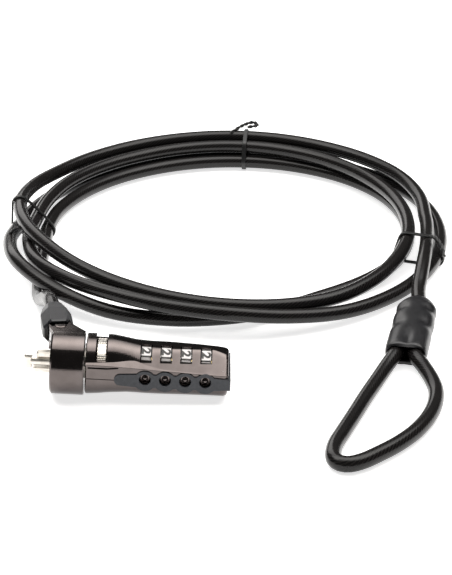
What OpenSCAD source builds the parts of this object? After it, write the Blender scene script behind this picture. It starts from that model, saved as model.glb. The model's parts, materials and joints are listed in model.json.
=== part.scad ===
// Laptop cable lock: a four-dial lock head with a quarter-turn T-bar, hinged
// to a plastic-coated steel cable that is coiled, tied and ends in an eye.
// Millimetres, +Z up. The head lies along X with its T-bar at -X, and the
// coil lies behind it at +Y. The origin is under the middle of the head.

/* [Lock head] */
// Outside diameter of the swivel collar
collar_d = 19.5; // [19:0.1:20]
// Width of the swivel collar along the lock
collar_w = 10.5; // [10:0.1:11]
// Half width of the case over its crown edges
case_w = 8.8; // [8.8:0.1:9]
// Length of the case from the collar to its far end
case_l = 42.3; // [42:0.1:43]
// How far the rubber grip stands out
grip_t = 0.4; // [0.3:0.1:0.5]

/* [Dials] */
// Number of dials
dial_n = 4; // [4:1:4]
// Faces on each dial
face_n = 10; // [10:1:10]
// Diameter of a dial over its corners
dial_d = 13.6; // [13.4:0.1:13.8]
// Width of a dial
dial_w = 3.1; // [2.8:0.1:3.2]
// Distance from one dial to the next
dial_pitch = 5.95; // [5.9:0.05:6]
// Angle above the horizontal of the face that is read
read_angle = 65; // [60:1:70]

/* [T-bar nose] */
// Diameter of the T-bar's shaft
shaft_d = 2.8; // [2.6:0.1:2.9]
// Length of the T-bar's head
t_len = 5.6; // [5:0.1:6.2]
// Span over both guide prongs
prong_span = 6.8; // [6.4:0.1:6.9]
// Reach of the T-bar in front of the collar
nose_l = 8.5; // [8:0.1:8.6]

/* [Cable] */
// Diameter over the plastic coating
cable_d = 4.8; // [4.6:0.1:4.8]
// Centre of the coil along the lock
coil_x = 30; // [29.5:0.1:30.5]
// Centre of the coil behind the lock
coil_y = 109.5; // [109.5:0.1:110]
// Thickness of the ties' wire
tie_t = 0.6; // [0.4:0.1:0.7]
// Width of the ties' wire
tie_w = 1.6; // [1.2:0.1:2]

/* [Hidden] */
$fn = 64;
e = 0.01;
gap = 0.2;
fit = 0.05;

// Case heights above and below the lock's axis, measured from the middle of
// the collar: a hump over the thumb-wheel that falls to the dials.
case_x0 = collar_w / 2 + gap;
case_x1 = case_x0 + case_l;
crown_h = [[5.4, 9.2], [13.2, 9.2], [15.6, 8.9], [18.6, 8.3], [21.6, 7.7],
    [24.5, 7.4], [30.5, 7.3], [36.5, 7.1], [42.4, 6.75], [45.4, 6.3], [48, 5.8]];
belly_h = [[5.4, 9], [9, 8.7], [12.6, 8.15], [15.6, 7.85], [18.6, 7.6],
    [24.5, 7.75], [36.5, 7.5], [42.4, 7.4], [48, 7.35]];
// The crown's lower edge, the width of the flat facet above it and the angle
// at which the round crown rises from that facet.
edge_h = [[5.4, 4.1], [9, 4.05], [18, 3.75], [30, 3.2], [48, 2.55]];
facet_w = [[5.4, 0.6], [9, 0.8], [14, 1.3], [20, 2.2], [24, 1.2], [30, 0.4], [48, 0.3]];
crown_a = [[5.4, 31], [13, 33], [20, 45], [24, 45], [30, 41], [48, 41]];
side_y = case_w - 0.3;

// The head leans on the table with its collar and the far end of its case.
collar_r = collar_d / 2;
foot_x = case_x1 - 1.2;
lean = atan((collar_r - lookup(foot_x, belly_h)) / (foot_x - collar_w / 2));
axis_x = -17.5;
axis_y = -2.3;
axis_z = collar_r * cos(lean) + collar_w / 2 * sin(lean);

// Thumb-wheel and its window.
wheel_x = 10.2;
wheel_w = 3;
wheel_r = 7.7;
window_w = 3.5;

// Dials on their clutch sleeves, on the spindle.
dial_r = dial_d / 2;
dial_x = 23.4;
pocket_r = dial_r + 0.3;
slot_w = dial_w + 0.5;
spindle_r = 2;
sleeve_r = 3.2;
peep_r = 1.8;
boss_r = 3.3;
grip_h = 3.6;
grip_z = -0.5;
spring_a = 45;
clip_x = case_x1 - 2.6;
clip_t = 0.6;

// Nose tube, on which the collar swivels.
journal_r = 4.5;
lip_r = 5;
lip_w = 1.5;

// Hinge on the collar, from the collar's middle. The eye turns between a
// lower and an upper ear.
pin_x = -3.3;
pin_y = 5.2;
pin_r = 1.2;
ear_r = 3.5;
ear_z0 = 1.6;
ear_z1 = collar_r - 0.1;
eye_z0 = 5.1;
eye_z1 = 7.9;
boot_turn = 13;
boot_l = 27.5;
boot_end_z = 2.5;

// Lowest place of the cable: the ties' wire lies under the lowest turns.
cable_r = cable_d / 2;
tie_gap = 0.15;
floor_z = cable_r + tie_t + tie_gap;

// ---------- Helpers ----------

module on_lock() {
    translate([axis_x, axis_y, axis_z]) rotate([0, lean, 0]) children();
}

// A cylinder along the lock from x0 to x1.
module rod(r, x0, x1, n = 64) {
    translate([x0, 0, 0]) rotate([0, 90, 0]) cylinder(r = r, h = x1 - x0, $fn = n);
}

// A block from one corner to the other.
module block(a, b) {
    translate(a) cube(b - a);
}

// A flat plate in the lock's side view, from y0 to y1, drawn as x and z.
module side_plate(y0, y1) {
    translate([0, y1, 0]) rotate([90, 0, 0]) linear_extrude(y1 - y0) children();
}

function unit(v) = v / norm(v);

// Smooth curve through a list of points, with s counted in points.
function spline(p, s) =
    let (n = len(p) - 1, i = min(floor(s), n - 1), t = s - i,
        b = p[i], c = p[i + 1],
        a = i > 0 ? p[i - 1] : 2 * b - c,
        d = i + 2 <= n ? p[i + 2] : 2 * c - b)
    b + t / 2 * (c - a + t * (2 * a - 5 * b + 4 * c - d
        + t * (3 * (b - c) + d - a)));

// One ring of a tube round point c, square to direction t.
function ring(c, t, r, n) =
    let (s = unit(cross(t, [0, 0, 1])), u = cross(s, t))
    [for (k = [0:n - 1]) c + r * (cos(360 * k / n) * s + sin(360 * k / n) * u)];

// A closed tube of n sides along a path. Its ends are square to its first
// and last steps.
module tube(path, r, n) {
    m = len(path);
    dirs = [for (i = [0:m - 1])
        i == 0 ? unit(path[1] - path[0])
        : i == m - 1 ? unit(path[i] - path[i - 1])
        : unit(unit(path[i + 1] - path[i]) + unit(path[i] - path[i - 1]))];
    pts = [for (i = [0:m - 1]) each ring(path[i], dirs[i], r, n)];
    sides = [for (i = [0:m - 2], k = [0:n - 1])
        let (a = i * n + k, b = i * n + (k + 1) % n)
        each [[a, b, a + n], [b, b + n, a + n]]];
    cap_a = [for (k = [1:n - 2]) [0, k + 1, k]];
    last = (m - 1) * n;
    cap_b = [for (k = [1:n - 2]) [last, last + k, last + k + 1]];
    polyhedron(points = pts, faces = concat(sides, cap_a, cap_b), convexity = 10);
}

// ---------- Cable routes ----------

// The coil: turns counted from its left side, clockwise from above, with a
// half turn at the end. The lanes give the cable's distance from the coil's
// centre, and its height over its lowest place, at each twelfth of a turn.
turns = 3.5;
turn_rings = 24;
lane_n = 12;
lane_r = [
    63.5, 62.5, 62.5, 63.5, 64.5, 65, 64, 63, 62, 68.5, 77, 80.5,
    73, 70.5, 70, 70, 71.5, 74.5, 75, 75.5, 76.5, 76.5, 75, 74,
    67, 66.5, 66.5, 66.5, 64, 62, 63, 66.5, 71.2, 70.8, 69.5, 69.5,
    72.5, 72, 72, 71.5, 72, 73, 70];
lane_z = [
    0, 0, 0, 0, 0, 0, 0, 0, 0, 0, 1.5, 6.5,
    2, 0, 0, 0, 0, 0, 0, 0, 1, 5.5, 7, 5.8,
    4.5, 4.5, 4.5, 5, 5.5, 5.5, 5.5, 5, 4, 5.5, 8, 10,
    10.2, 7, 6.5, 7, 6.5, 5.5, 4.5];

function lane(s) =
    let (a = s * 360 / lane_n, r = spline(lane_r, s))
    [coil_x - r * cos(a), coil_y + r * sin(a), floor_z + spline(lane_z, s)];

coil_turns = [for (k = [0:turns * turn_rings]) lane(k * lane_n / turn_rings)];
coil_in = coil_turns[0] - [0, cable_d, 0];
coil_out = coil_turns[len(coil_turns) - 1] - [0, cable_d, 0];
coil_path = concat([coil_in], coil_turns, [coil_out]);

// Least gap between turns, from each ring's middle to the other turns' line.
function turn_gap(i) = min([for (j = [i + 12:len(coil_path) - 2])
    let (a = coil_path[j], d = coil_path[j + 1] - a, q = coil_path[i],
        f = max(0, min(1, (q - a) * d / (d * d))))
    norm(q - a - f * d)]);
least_gap = min([for (i = [0:len(coil_path) - 14]) turn_gap(i)]) - cable_d;
echo(least_gap_between_turns = least_gap);

// Where the cable leaves the boot.
boot_dir = [-sin(boot_turn), cos(boot_turn), 0];
boot_end = [pin_x, pin_y, boot_end_z] + boot_l * boot_dir;
lead_start = [axis_x + boot_end[0] * cos(lean) + boot_end[2] * sin(lean),
    axis_y + boot_end[1],
    axis_z - boot_end[0] * sin(lean) + boot_end[2] * cos(lean)];

// The lead from the boot, under the turns, to the coil.
lead_path = concat([lead_start], [
    [-28.2, 34, 12.2], [-29.2, 40, 9.5], [-30.3, 46, 6], [-31.4, 52, 3.5],
    [-32.3, 60, 2.5], [-33, 69, 2.5], [-33.5, 80, 2.8], [-33.5, 92, 3.1]], [coil_in]);

// The crimp sleeve's axis, from the tail down to both legs of the eye, and a
// place x along it and y across it.
sleeve_top = [91.8, 50, 5.2];
sleeve_low = [85.2, 19.5, 4.5];
sleeve_l = norm(sleeve_low - sleeve_top);
sleeve_dir = unit(sleeve_low - sleeve_top);
ferrule_x0 = 6;
ferrule_x1 = 22;
leg_y = cable_r + 0.2;
function in_sleeve(x, y = 0) =
    sleeve_top + x * sleeve_dir + y * unit([-sleeve_dir[1], sleeve_dir[0], 0]);

// The tail from the coil, over the outer turn, to the ferrule in the sleeve.
tail_path = concat([coil_out], [
    [99.5, 97, 7.7], [98.5, 88, 8.2], [97.2, 79, 8.7], [95.8, 71, 8.5],
    [94.3, 63, 7.2], [93, 56, 5.8]], [sleeve_top, in_sleeve(ferrule_x0)]);

// The eye from the ferrule, out of the sleeve, round, and back into it.
eye_path = concat([in_sleeve(ferrule_x1, leg_y), in_sleeve(sleeve_l + 0.5, leg_y)], [
    [88.3, 13.5, 4.1], [90.3, 7, 3.6], [92.2, 0, 3], [93, -7, 2.5],
    [91.8, -15, 2.4], [89, -23, 2.4], [84.6, -31, 2.4], [79, -38, 2.4],
    [73, -43.7, 2.4], [68.3, -47.5, 2.4], [64.2, -49.2, 2.4], [61.2, -48, 2.4],
    [60.2, -44.5, 2.4], [61, -38.5, 2.4], [63.5, -31.5, 2.4], [67.5, -21, 2.4],
    [71.5, -10.5, 2.6], [75.5, -1, 3], [79, 7, 3.6], [81.2, 13, 4.1]],
    [in_sleeve(sleeve_l + 0.5, -leg_y), in_sleeve(ferrule_x1, -leg_y)]);

// ---------- Case ----------

// A quarter of the case's section at x, from its side to the middle of its
// crown: a step out to the crown's edge, the facet and a round top.
function crown_quarter(x) =
    let (edge = lookup(x, edge_h), t = lookup(x, facet_w), b = lookup(x, crown_h),
        y = case_w - t, z = edge + 0.62 * t, c = y - (b - z) * tan(lookup(x, crown_a)))
    concat([[side_y, 0], [side_y, edge - 0.3], [case_w, edge]],
        [for (k = [0:8]) let (u = k / 8, v = 1 - u)
            [v * v * y + 2 * u * v * c, v * v * z + (1 - v * v) * b]]);

// The same down to the middle of the belly, one full curve.
function belly_quarter(x) =
    let (b = lookup(x, belly_h))
    [for (k = [0:10]) let (a = 9 * k)
        [side_y * pow(cos(a), 0.87), -b * pow(sin(a), 0.87)]];

// Both quarters of a section, drawn in by inset at its rounded ends.
function half_section(x, inset, quarter) =
    let (n = len(quarter), f = 1 - inset / case_w)
    concat([for (p = quarter) [x, -f * p[0], f * p[1]]],
        [for (k = [n - 2:-1:0]) [x, f * quarter[k][0], f * quarter[k][1]]]);

// Places along the case and how far each section is drawn in.
case_rows = [[case_x0, 0.5], [case_x0 + 0.15, 0.2], [case_x0 + 0.5, 0],
    [8, 0], [11, 0], [13.2, 0], [14.4, 0], [15.6, 0], [17.1, 0], [18.6, 0], [20, 0],
    [21.6, 0], [23, 0], [24.5, 0], [30.5, 0], [36.5, 0], [42.4, 0], [45.4, 0],
    [case_x1 - 1.2, 0], [case_x1 - 0.7, 0.2], [case_x1 - 0.3, 0.5], [case_x1, 1]];

module half_case(up) {
    rows = [for (row = case_rows)
        half_section(row[0], row[1], up > 0 ? crown_quarter(row[0]) : belly_quarter(row[0]))];
    n = len(rows[0]);
    m = len(rows);
    pts = [for (row = rows) each row];
    walls = [for (i = [0:m - 2], k = [0:n - 1])
        let (a = i * n + k, b = i * n + (k + 1) % n)
        each up > 0 ? [[a, a + n, b], [b, a + n, b + n]] : [[a, b, a + n], [b, b + n, a + n]]];
    near = [for (k = [0:n - 1]) up > 0 ? k : n - 1 - k];
    far = [for (k = [0:n - 1]) (m - 1) * n + (up > 0 ? n - 1 - k : k)];
    polyhedron(points = pts, faces = concat(walls, [near], [far]), convexity = 6);
}

// Outline of the grip's long side in the lock's side view.
module grip_outline(x1) {
    translate([0, grip_z]) {
        hull() {
            translate([16, 0]) circle(r = grip_h / 2, $fn = 32);
            translate([x1 - 1, -grip_h / 2]) square([1, grip_h]);
        }
        for (k = [0:dial_n - 1])
            translate([dial_x + k * dial_pitch, 0]) circle(r = boss_r, $fn = 40);
    }
}

// Everything that the shells leave free for the pieces inside them.
module case_hollow() {
    rod(journal_r, case_x0 - e, 8.2);
    rod(wheel_r + gap, wheel_x - window_w / 2, wheel_x + window_w / 2);
    rod(spindle_r + fit, 7, case_x1 - 2);
    rod(3.8, clip_x - 0.2, clip_x + 1.4);
    for (k = [0:dial_n - 1]) translate([dial_x + k * dial_pitch, 0, 0]) {
        rod(pocket_r, -slot_w / 2, slot_w / 2);
        rod(sleeve_r + gap, slot_w / 2 - e, dial_pitch - slot_w / 2 + e);
        rotate([90, 0, 0]) cylinder(r = peep_r, h = 3 * case_w, center = true);
    }
    rotate([spring_a, 0, 0])
        block([dial_x - 3, -1.4, -7.7], [dial_x + 3 * dial_pitch + 3, 1.4, -6.2]);
    for (y = [-1, 1]) {
        translate([16.5, y * 6.4, 0]) cylinder(r = 0.8, h = 9, center = true);
        translate([case_x1 - 1.6, y * 6.6, 0]) cylinder(r = 0.8, h = 7, center = true);
    }
    for (y = [-side_y - 1, side_y - 0.5])
        side_plate(y, y + 1.5) grip_outline(case_x1 + 1);
    translate([case_x1 - 0.4, 0, 0])
        block([0, -case_w, grip_z - grip_h / 2], [1, case_w, grip_z + grip_h / 2]);
}

module upper_shell() color([0.62, 0.57, 0.57]) on_lock() difference() {
    half_case(1);
    case_hollow();
    // Window over the thumb-wheel.
    block([wheel_x - window_w / 2, -12, 4.6], [wheel_x + window_w / 2, 12, 12]);
    // Windows across the top of the dials.
    for (k = [0:dial_n - 1]) translate([dial_x + k * dial_pitch, 0, 0])
        block([-slot_w / 2, -12, 4.3], [slot_w / 2, 12, 12]);
    // Groove under the crown's edge beside the thumb-wheel, at each side.
    for (y = [-1, 1]) translate([6.2, y * side_y - 0.5, 2.5]) cube([9, 1, 1.3]);
}

module lower_shell() color([0.34, 0.31, 0.3]) on_lock() difference() {
    half_case(-1);
    case_hollow();
}

// U-shaped rubber strip: both sides of the case and its far end.
module rubber_grip() color([0.2, 0.21, 0.23]) on_lock() difference() {
    union() {
        for (y = [-side_y - grip_t, side_y - 0.5])
            side_plate(y, y + grip_t + 0.5) grip_outline(case_x1 - 0.4);
        translate([case_x1 - 0.4, 0, grip_z]) rotate([0, 90, 0]) linear_extrude(1.1)
            square([grip_h, 2 * (side_y + grip_t)], center = true);
    }
    for (k = [0:dial_n - 1]) translate([dial_x + k * dial_pitch, 0, 0])
        rotate([90, 0, 0]) cylinder(r = peep_r, h = 3 * case_w, center = true);
}

// Pins that hold the two shells together.
module case_pins() color("silver") on_lock() for (y = [-1, 1]) {
    translate([16.5, y * 6.4, 0]) cylinder(r = 0.8, h = 9, center = true);
    translate([case_x1 - 1.6, y * 6.6, 0]) cylinder(r = 0.8, h = 7, center = true);
}

// Tube fixed in the case: the collar swivels on it between the case and the
// lip, and its two prongs guide the T-bar into the slot.
module nose_tube() color([0.75, 0.72, 0.68]) on_lock() difference() {
    union() {
        rod(journal_r, -collar_w / 2 + lip_w - e, 8.2);
        rod(lip_r, -collar_w / 2, -collar_w / 2 + lip_w);
        for (z = [-1, 1]) hull() {
            block([-collar_w / 2 - 4.2, -1.2, z * (prong_span / 2 - 0.7) - 0.7],
                [-collar_w / 2 + e, 1.2, z * (prong_span / 2 - 0.7) + 0.7]);
            block([-collar_w / 2 - 4.8, -0.8, z * (prong_span / 2 - 0.9) - 0.4],
                [-collar_w / 2, 0.8, z * (prong_span / 2 - 0.9) + 0.4]);
        }
    }
    rod(shaft_d / 2 + fit, -20, 0);
    rod(spindle_r + fit, 0, 10);
}

// ---------- Spindle ----------

// T-bar head, shaft and spindle in one piece.
module t_bar() color([0.82, 0.79, 0.74]) on_lock() {
    head_x = -collar_w / 2 - nose_l;
    hull() for (x = [0.4, 1.9], z = [-1, 1])
        translate([head_x + x, 0, z * (t_len / 2 - 1.2)]) rotate([0, 90, 0])
            cylinder(r = x == 0.4 ? 1 : 1.2, h = 0.8, center = true, $fn = 24);
    difference() {
        union() {
            rod(shaft_d / 2, head_x + 2, 0.3);
            rod(spindle_r, 0.3, clip_x + 1.1);
        }
        // Groove of the retaining clip.
        difference() {
            rod(spindle_r + 1, clip_x, clip_x + clip_t);
            rod(spindle_r - 0.5, clip_x - 1, clip_x + 1);
        }
        // Flat that keys the thumb-wheel.
        block([wheel_x - wheel_w / 2, 1.5, -3], [wheel_x + wheel_w / 2, 3, 3]);
    }
}

// Knurled wheel keyed on the spindle by its flat.
module thumb_wheel() color([0.93, 0.91, 0.87]) on_lock() {
    translate([wheel_x, 0, 0]) difference() {
        rod(wheel_r, -wheel_w / 2, wheel_w / 2);
        difference() {
            rod(spindle_r, -wheel_w, wheel_w);
            block([-wheel_w, 1.5, -3], [wheel_w, 3, 3]);
        }
        for (k = [0:35]) rotate([k * 10, 0, 0]) translate([0, 0, wheel_r + 0.15])
            rotate([45, 0, 0]) cube([wheel_w + 1, 0.6, 0.6], center = true);
    }
}

// Open ring in the spindle's groove.
module spindle_clip() color("silver") on_lock() difference() {
    rod(3.3, clip_x, clip_x + clip_t);
    rod(spindle_r - 0.5, clip_x - 1, clip_x + 1);
    block([clip_x - 1, -0.9, 0], [clip_x + 1, 0.9, 4]);
}

// Leaf with one raised finger under each dial.
module detent_spring() color("gainsboro") on_lock() rotate([spring_a, 0, 0]) {
    block([dial_x - 2.8, -1.2, -7.6], [dial_x + 3 * dial_pitch + 2.8, 1.2, -7.4]);
    for (k = [0:dial_n - 1]) translate([dial_x + k * dial_pitch, 0, -7.4])
        side_plate(-0.8, 0.8) polygon([[-1.4, 0], [1.4, 0], [0.5, 0.35], [-0.5, 0.35]]);
}

// ---------- Dials ----------

// Ten-faced dial. Ten keyways in its bore let the sleeve sit at any figure.
module dial(i) color([0.9, 0.88, 0.88]) on_lock()
    translate([dial_x + (i - 1) * dial_pitch, 0, 0]) rotate([90 - read_angle, 0, 0])
    difference() {
        translate([-dial_w / 2, 0, 0]) rotate([0, 90, 0]) rotate([0, 0, 18])
            cylinder(r = dial_r, h = dial_w, $fn = face_n);
        rod(sleeve_r + fit, -dial_w, dial_w);
        for (k = [0:face_n - 1]) rotate([k * 360 / face_n, 0, 0])
            block([-dial_w, -0.5, 0], [dial_w, 0.5, sleeve_r + 0.6]);
    }

// Sleeve with a key that drives its dial, and a gate for the spindle.
module clutch_sleeve(i) color([0.8, 0.68, 0.4]) on_lock()
    translate([dial_x + (i - 1) * dial_pitch, 0, 0]) rotate([90 - read_angle, 0, 0])
    difference() {
        union() {
            rod(sleeve_r, -dial_w / 2, dial_pitch - slot_w / 2 - 0.6);
            block([-dial_w / 2, -0.45, spindle_r + 0.5], [dial_w / 2, 0.45, sleeve_r + 0.5]);
        }
        rod(spindle_r + fit, -dial_w, dial_pitch);
        block([dial_w / 2 + 0.4, -0.7, -4], [dial_pitch, 0.7, 0]);
    }

// ---------- Collar and hinge ----------

// Plan of the hinge's ears: round the pin, then along the back to the case.
module ear_plan() {
    hull() {
        translate([pin_x, pin_y]) circle(r = ear_r, $fn = 48);
        translate([-collar_w / 2 + 0.2, 0.9]) square([collar_w - 0.4, 0.9]);
    }
}

module swivel_collar() color([0.46, 0.42, 0.41]) on_lock() difference() {
    union() {
        difference() {
            rotate([0, 90, 0]) rotate_extrude($fn = 96) polygon([
                [2, -collar_w / 2], [collar_r - 0.5, -collar_w / 2],
                [collar_r, -collar_w / 2 + 0.5], [collar_r, collar_w / 2 - 0.3],
                [collar_r - 0.3, collar_w / 2], [2, collar_w / 2]]);
            // Room for the boot to swing behind the ears.
            block([-8, 1, ear_z0], [8, 12, 12]);
        }
        translate([0, 0, ear_z0 - e]) linear_extrude(ear_z1 - ear_z0 + e) ear_plan();
    }
    rod(journal_r + fit, -8, 8);
    rod(lip_r + fit, -8, -collar_w / 2 + lip_w + 0.1);
    // Fork for the eye.
    translate([pin_x, pin_y, eye_z0 - gap])
        cylinder(r = ear_r + 0.2, h = eye_z1 - eye_z0 + 2 * gap);
    translate([pin_x, pin_y, 4]) cylinder(r = pin_r, h = 8);
}

module hinge_pin() color([0.3, 0.3, 0.3]) on_lock() translate([pin_x, pin_y, 0]) {
    translate([0, 0, 4]) cylinder(r = pin_r, h = ear_z1 - 4);
    translate([0, 0, ear_z1]) cylinder(r1 = 1.8, r2 = 1.6, h = 0.3);
}

// Steel eye and the socket into which the cable's end is crimped.
module cable_eye() color("silver") on_lock()
    translate([pin_x, pin_y, 0]) rotate([0, 0, boot_turn]) difference() {
        union() {
            translate([0, 0, eye_z0]) cylinder(r = ear_r - 0.1, h = eye_z1 - eye_z0);
            translate([-1.8, 0, eye_z0]) cube([3.6, 6, eye_z1 - eye_z0]);
            translate([0, 5.4, 6]) rotate([-90, 0, 0]) cylinder(r = 2.4, h = 3.2);
        }
        cylinder(r = pin_r + fit, h = 12);
    }

// Moulded boot: wide and square where it takes the ears in its mouth, and
// drawn in to the cable at its far end.
module cable_boot() color([0.16, 0.16, 0.17]) on_lock()
    translate([pin_x, pin_y, 0]) rotate([0, 0, boot_turn]) difference() {
        union() {
            hull() {
                translate([-4.6, 4, 3.2]) cube([9.2, 8, 5]);
                translate([-3.4, 4, 2.4]) cube([6.8, 8, 6.9]);
                translate([-4.5, -0.8, 4]) cube([0.8, 1, 3.6]);
                translate([0, boot_l, boot_end_z]) rotate([90, 0, 0])
                    cylinder(r = 3.1, h = 2, $fn = 32);
            }
        }
        // Mouth round the ears.
        cylinder(r = ear_r + 0.4, h = 12);
        // Clear of the collar.
        translate([-1.5, -8, -1]) cube([10, 12.5, 12]);
        // Pocket of the steel eye.
        translate([-1.8, 0, eye_z0]) cube([3.6, 6, eye_z1 - eye_z0]);
        translate([0, 5.4, 6]) rotate([-90, 0, 0]) cylinder(r = 2.4, h = 3.2);
    }

// ---------- Cable ----------

module cable_lead() color([0.19, 0.18, 0.18]) tube(lead_path, cable_r, 10);
module cable_coil() color([0.19, 0.18, 0.18]) tube(coil_path, cable_r, 6);
module cable_tail() color([0.19, 0.18, 0.18]) tube(tail_path, cable_r, 10);
module loop_eye() color([0.19, 0.18, 0.18]) tube(eye_path, cable_r, 10);

// Wire tie round the cable's passes at angle a, given as distance from the
// coil's centre and height.
module tie(a, passes) {
    color([0.1, 0.1, 0.1]) translate([coil_x, coil_y, 0]) rotate([0, 0, 180 - a])
        rotate([90, 0, 0]) linear_extrude(tie_w, center = true) difference() {
            hull() for (p = passes) translate(p) circle(r = cable_r + tie_gap + tie_t, $fn = 24);
            hull() for (p = passes) translate(p) circle(r = cable_r + tie_gap, $fn = 24);
        }
}

// Where the straight step between two rings passes a tie.
function pass(s) =
    let (k = floor(2 * s), a = lane(k / 2), p = a + (2 * s - k) * (lane((k + 1) / 2) - a))
    [norm([p[0] - coil_x, p[1] - coil_y]), p[2]];
module tie_left() tie(0, [pass(0), pass(12), pass(24), pass(36)]);
module tie_back() tie(96, [pass(3.2), pass(15.2), pass(27.2), pass(39.2)]);
module tie_right() tie(198, [pass(6.6), pass(18.6), pass(30.6), [73.2, 8.2]]);

// Crimp sleeve: a soft oval moulding, drawn in to the tail at its upper end.
// Its bores take the tail, the steel ferrule and both legs of the eye.
module at_sleeve() {
    translate(sleeve_top) rotate([0, 0, atan2(sleeve_dir[1], sleeve_dir[0])])
        rotate([0, -asin(sleeve_dir[2]), 0]) children();
}

module crimp_sleeve() color([0.2, 0.2, 0.21]) at_sleeve() difference() {
    hull() {
        rod(3.2, 0, 0.4, 32);
        rod(4, 3, 3.4, 32);
        for (y = [-1, 1]) translate([0, y * 2.4, 0]) rod(4.2, 9, sleeve_l - 1.5, 32);
        for (y = [-1, 1]) translate([0, y * 2.2, 0]) rod(3.7, sleeve_l - 1, sleeve_l, 32);
    }
    rod(3.1, ferrule_x0, ferrule_x1);
    rod(cable_r + fit, -1, ferrule_x0 + 1);
    for (y = [-1, 1]) translate([0, y * leg_y, 0])
        rod(cable_r + fit, ferrule_x1 - 1, sleeve_l + 1);
}

module crimp_ferrule() color("silver") at_sleeve() rod(3.1, ferrule_x0, ferrule_x1);

upper_shell();
lower_shell();
rubber_grip();
nose_tube();
case_pins();
t_bar();
thumb_wheel();
spindle_clip();
detent_spring();
dial(1);  // dial_1
dial(2);  // dial_2
dial(3);  // dial_3
dial(4);  // dial_4
clutch_sleeve(1);  // clutch_sleeve_1
clutch_sleeve(2);  // clutch_sleeve_2
clutch_sleeve(3);  // clutch_sleeve_3
clutch_sleeve(4);  // clutch_sleeve_4
swivel_collar();
hinge_pin();
cable_eye();
cable_boot();
cable_lead();
cable_coil();
tie_left();
tie_back();
tie_right();
cable_tail();
crimp_sleeve();
crimp_ferrule();
loop_eye();
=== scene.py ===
import json
import math

import bmesh
import bpy
from mathutils import Matrix, Vector


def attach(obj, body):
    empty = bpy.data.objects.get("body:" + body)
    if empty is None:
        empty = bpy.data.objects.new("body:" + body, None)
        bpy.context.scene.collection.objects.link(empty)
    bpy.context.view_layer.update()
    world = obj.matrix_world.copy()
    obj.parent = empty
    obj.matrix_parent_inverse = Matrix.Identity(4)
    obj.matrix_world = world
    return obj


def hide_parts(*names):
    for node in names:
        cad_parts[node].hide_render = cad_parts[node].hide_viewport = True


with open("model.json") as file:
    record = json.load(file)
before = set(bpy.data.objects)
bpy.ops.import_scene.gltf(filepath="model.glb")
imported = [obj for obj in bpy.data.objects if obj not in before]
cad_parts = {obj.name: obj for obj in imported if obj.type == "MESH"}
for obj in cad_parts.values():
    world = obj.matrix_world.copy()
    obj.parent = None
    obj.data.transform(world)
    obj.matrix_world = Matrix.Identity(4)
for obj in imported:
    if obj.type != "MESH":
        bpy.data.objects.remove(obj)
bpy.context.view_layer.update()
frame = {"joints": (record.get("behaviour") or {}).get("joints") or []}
MM = 0.001

# ---------- Camera ----------

# The photograph's size and focal length in pixels.
IMAGE = (452, 575)
FOCAL_PX = 2000
# The camera's place, and how many degrees it looks down.
CAMERA_AT = (29.7, -534.7, 294.7)
CAMERA_DOWN = 26
SENSOR_W = 36


def make_camera():
    """The camera at the photograph's angle."""
    data = bpy.data.cameras.new("camera")
    camera = bpy.data.objects.new("camera", data)
    bpy.context.scene.collection.objects.link(camera)
    data.sensor_width = SENSOR_W
    data.lens = SENSOR_W * FOCAL_PX / max(IMAGE)
    data.clip_start = 0.01
    data.clip_end = 20
    camera.location = [v * MM for v in CAMERA_AT]
    camera.rotation_euler = (math.radians(90 - CAMERA_DOWN), 0, 0)
    bpy.context.scene.camera = camera


make_camera()

# ---------- Sizes ----------

# The lock head lies along x, with y across it and z up. The head is drawn
# finer than the CAD solids, and some sizes differ from theirs by tenths.

# Free play between moving pieces, and in a close fit.
GAP = 0.2
FIT = 0.05
# Swivel collar, and its gap to the case.
COLLAR_R = 9.75
COLLAR_W = 10.2
COLLAR_HALF = COLLAR_W / 2
COLLAR_GAP = 0.35
# Case: half widths at the facets and at the sides, its ends, the parting line.
CASE_W = 8.8
SIDE_Y = CASE_W - 0.3
CASE_X0 = COLLAR_HALF + COLLAR_GAP
CASE_X1 = CASE_X0 + 42.8
PARTING_Z = -0.8
# Tables of (x, value) along the case: height of the crown, depth of the
# belly, height of the side's upper edge, width of the facet above it.
CROWN_H = [(5.4, 9.2), (13.2, 9.2), (15.6, 8.9), (18.6, 8.3), (21.6, 7.75),
           (24.5, 7.5), (30.5, 7.42), (37.5, 7.38), (43.4, 7.3), (45.4, 6.95), (48, 6.4)]
BELLY_H = [(5.4, 9), (9, 8.7), (12.6, 8.15), (15.6, 7.85), (18.6, 7.6),
           (24.5, 7.75), (36.5, 7.5), (42.4, 7.4), (48, 7.35)]
EDGE_H = [(5.4, 4.1), (9, 4.05), (18, 3.75), (30, 3.2), (48, 2.55)]
FACET_W = [(5.4, 0.6), (9, 0.8), (14, 1.3), (20, 2.2), (24, 1.2), (30, 0.4), (48, 0.3)]
# The crown is round over the thumb-wheel and flattens to a roof over the
# dials: half width of its ridge, and how much of each side is rounded.
RIDGE = [(5.4, 4.9), (13.2, 4.6), (16, 4.1), (20, 3.6), (22, 3.35), (24.5, 3), (30.5, 2.7),
         (34, 2.45), (37.5, 2.2), (41, 1.9), (43.4, 1.65), (45.4, 2), (48, 2.5)]
ROUND = [(5.4, 1), (20, 1), (22, 0.8), (24.5, 0.55), (27.5, 0.35), (31, 0.22), (48, 0.2)]
# Rubber grip: thickness, strip, the round boss at each dial and the hole in it.
GRIP_T = 0.4
GRIP_H = 3.6
GRIP_X0 = 16
GRIP_Z = -0.5
BOSS_R = 3.3
PEEP_R = 1.8
# Thumb-wheel and its window.
WHEEL_X = 10.1
WHEEL_R = 7.7
WHEEL_RIDGES = 36
WINDOW_W = 3.5
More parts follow.
